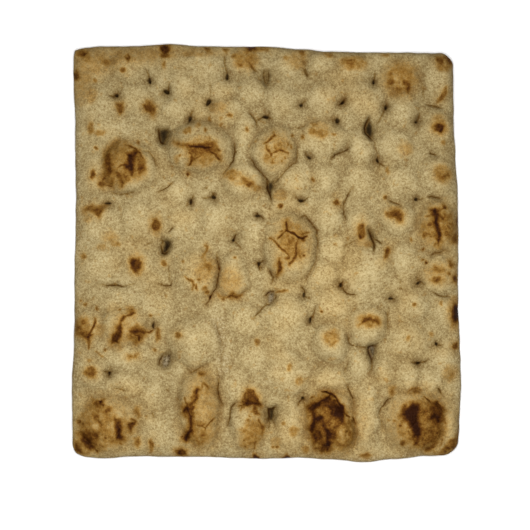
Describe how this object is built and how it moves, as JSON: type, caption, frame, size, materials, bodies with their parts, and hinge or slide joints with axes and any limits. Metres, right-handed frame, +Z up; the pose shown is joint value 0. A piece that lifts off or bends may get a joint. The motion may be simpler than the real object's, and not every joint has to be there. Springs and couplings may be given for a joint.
{
  "type": "whole wheat flatbread",
  "caption": "Square whole wheat flatbread with docking pits, baked blisters, folds and scorched spots, resting flat on its underside.",
  "frame": {"origin": "centre of the underside, on the surface the bread rests on", "axes": "+X across the bread, +Y along its longer side, +Z up out of the blistered face"},
  "size_m": [0.1564, 0.1682, 0.0109],
  "materials": {
    "crust": "dull baked crust, pale tan with brown scorched blisters"
  },
  "bodies": {
    "root": {"flatbread": "crust"}
  },
  "joints": []
}
